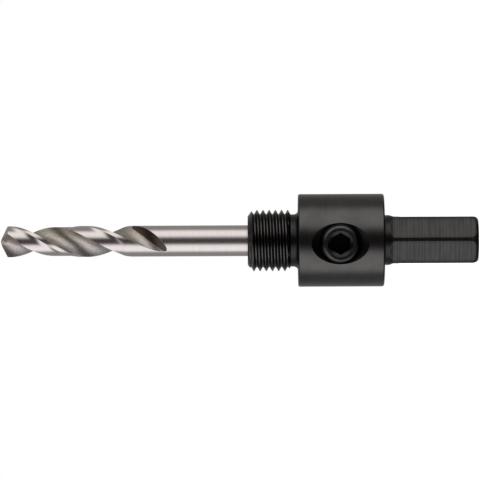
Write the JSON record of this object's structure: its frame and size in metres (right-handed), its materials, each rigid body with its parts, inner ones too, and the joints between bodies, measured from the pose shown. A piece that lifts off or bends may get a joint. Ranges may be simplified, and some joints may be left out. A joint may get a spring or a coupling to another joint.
{
  "type": "hole saw arbor",
  "caption": "Hole saw arbor: threaded nose, round collar and hexagonal shank in one bar, with a twist pilot drill clamped in its bore by a socket set screw.",
  "frame": {"origin": "middle of the hexagonal shank's flat end face, on the arbor's axis", "axes": "+Z along the arbor's axis towards the pilot drill's tip; a corner of the hexagon faces -Y, and the set screw looks out near -Y"},
  "size_m": [0.019, 0.0193, 0.0982],
  "materials": {
    "black_oxide_steel": "black oxide over turned and milled steel, satin",
    "bright_drill_steel": "bright ground high speed steel",
    "black_screw_steel": "black oxide alloy steel, satin"
  },
  "bodies": {
    "arbor": {"arbor_body": "black_oxide_steel"},
    "drill": {"pilot_drill": "bright_drill_steel"},
    "screw": {"set_screw": "black_screw_steel"}
  },
  "joints": [
    {"name": "pilot_drill_slide", "type": "slide", "parent": "arbor", "child": "drill", "axis": [0, 0, 1], "range_m": [0, 0.0254]},
    {"name": "set_screw_travel", "type": "slide", "parent": "arbor", "child": "screw", "axis": [-0.1028, -0.9947, 0], "range_m": [0, 0.00282]}
  ]
}
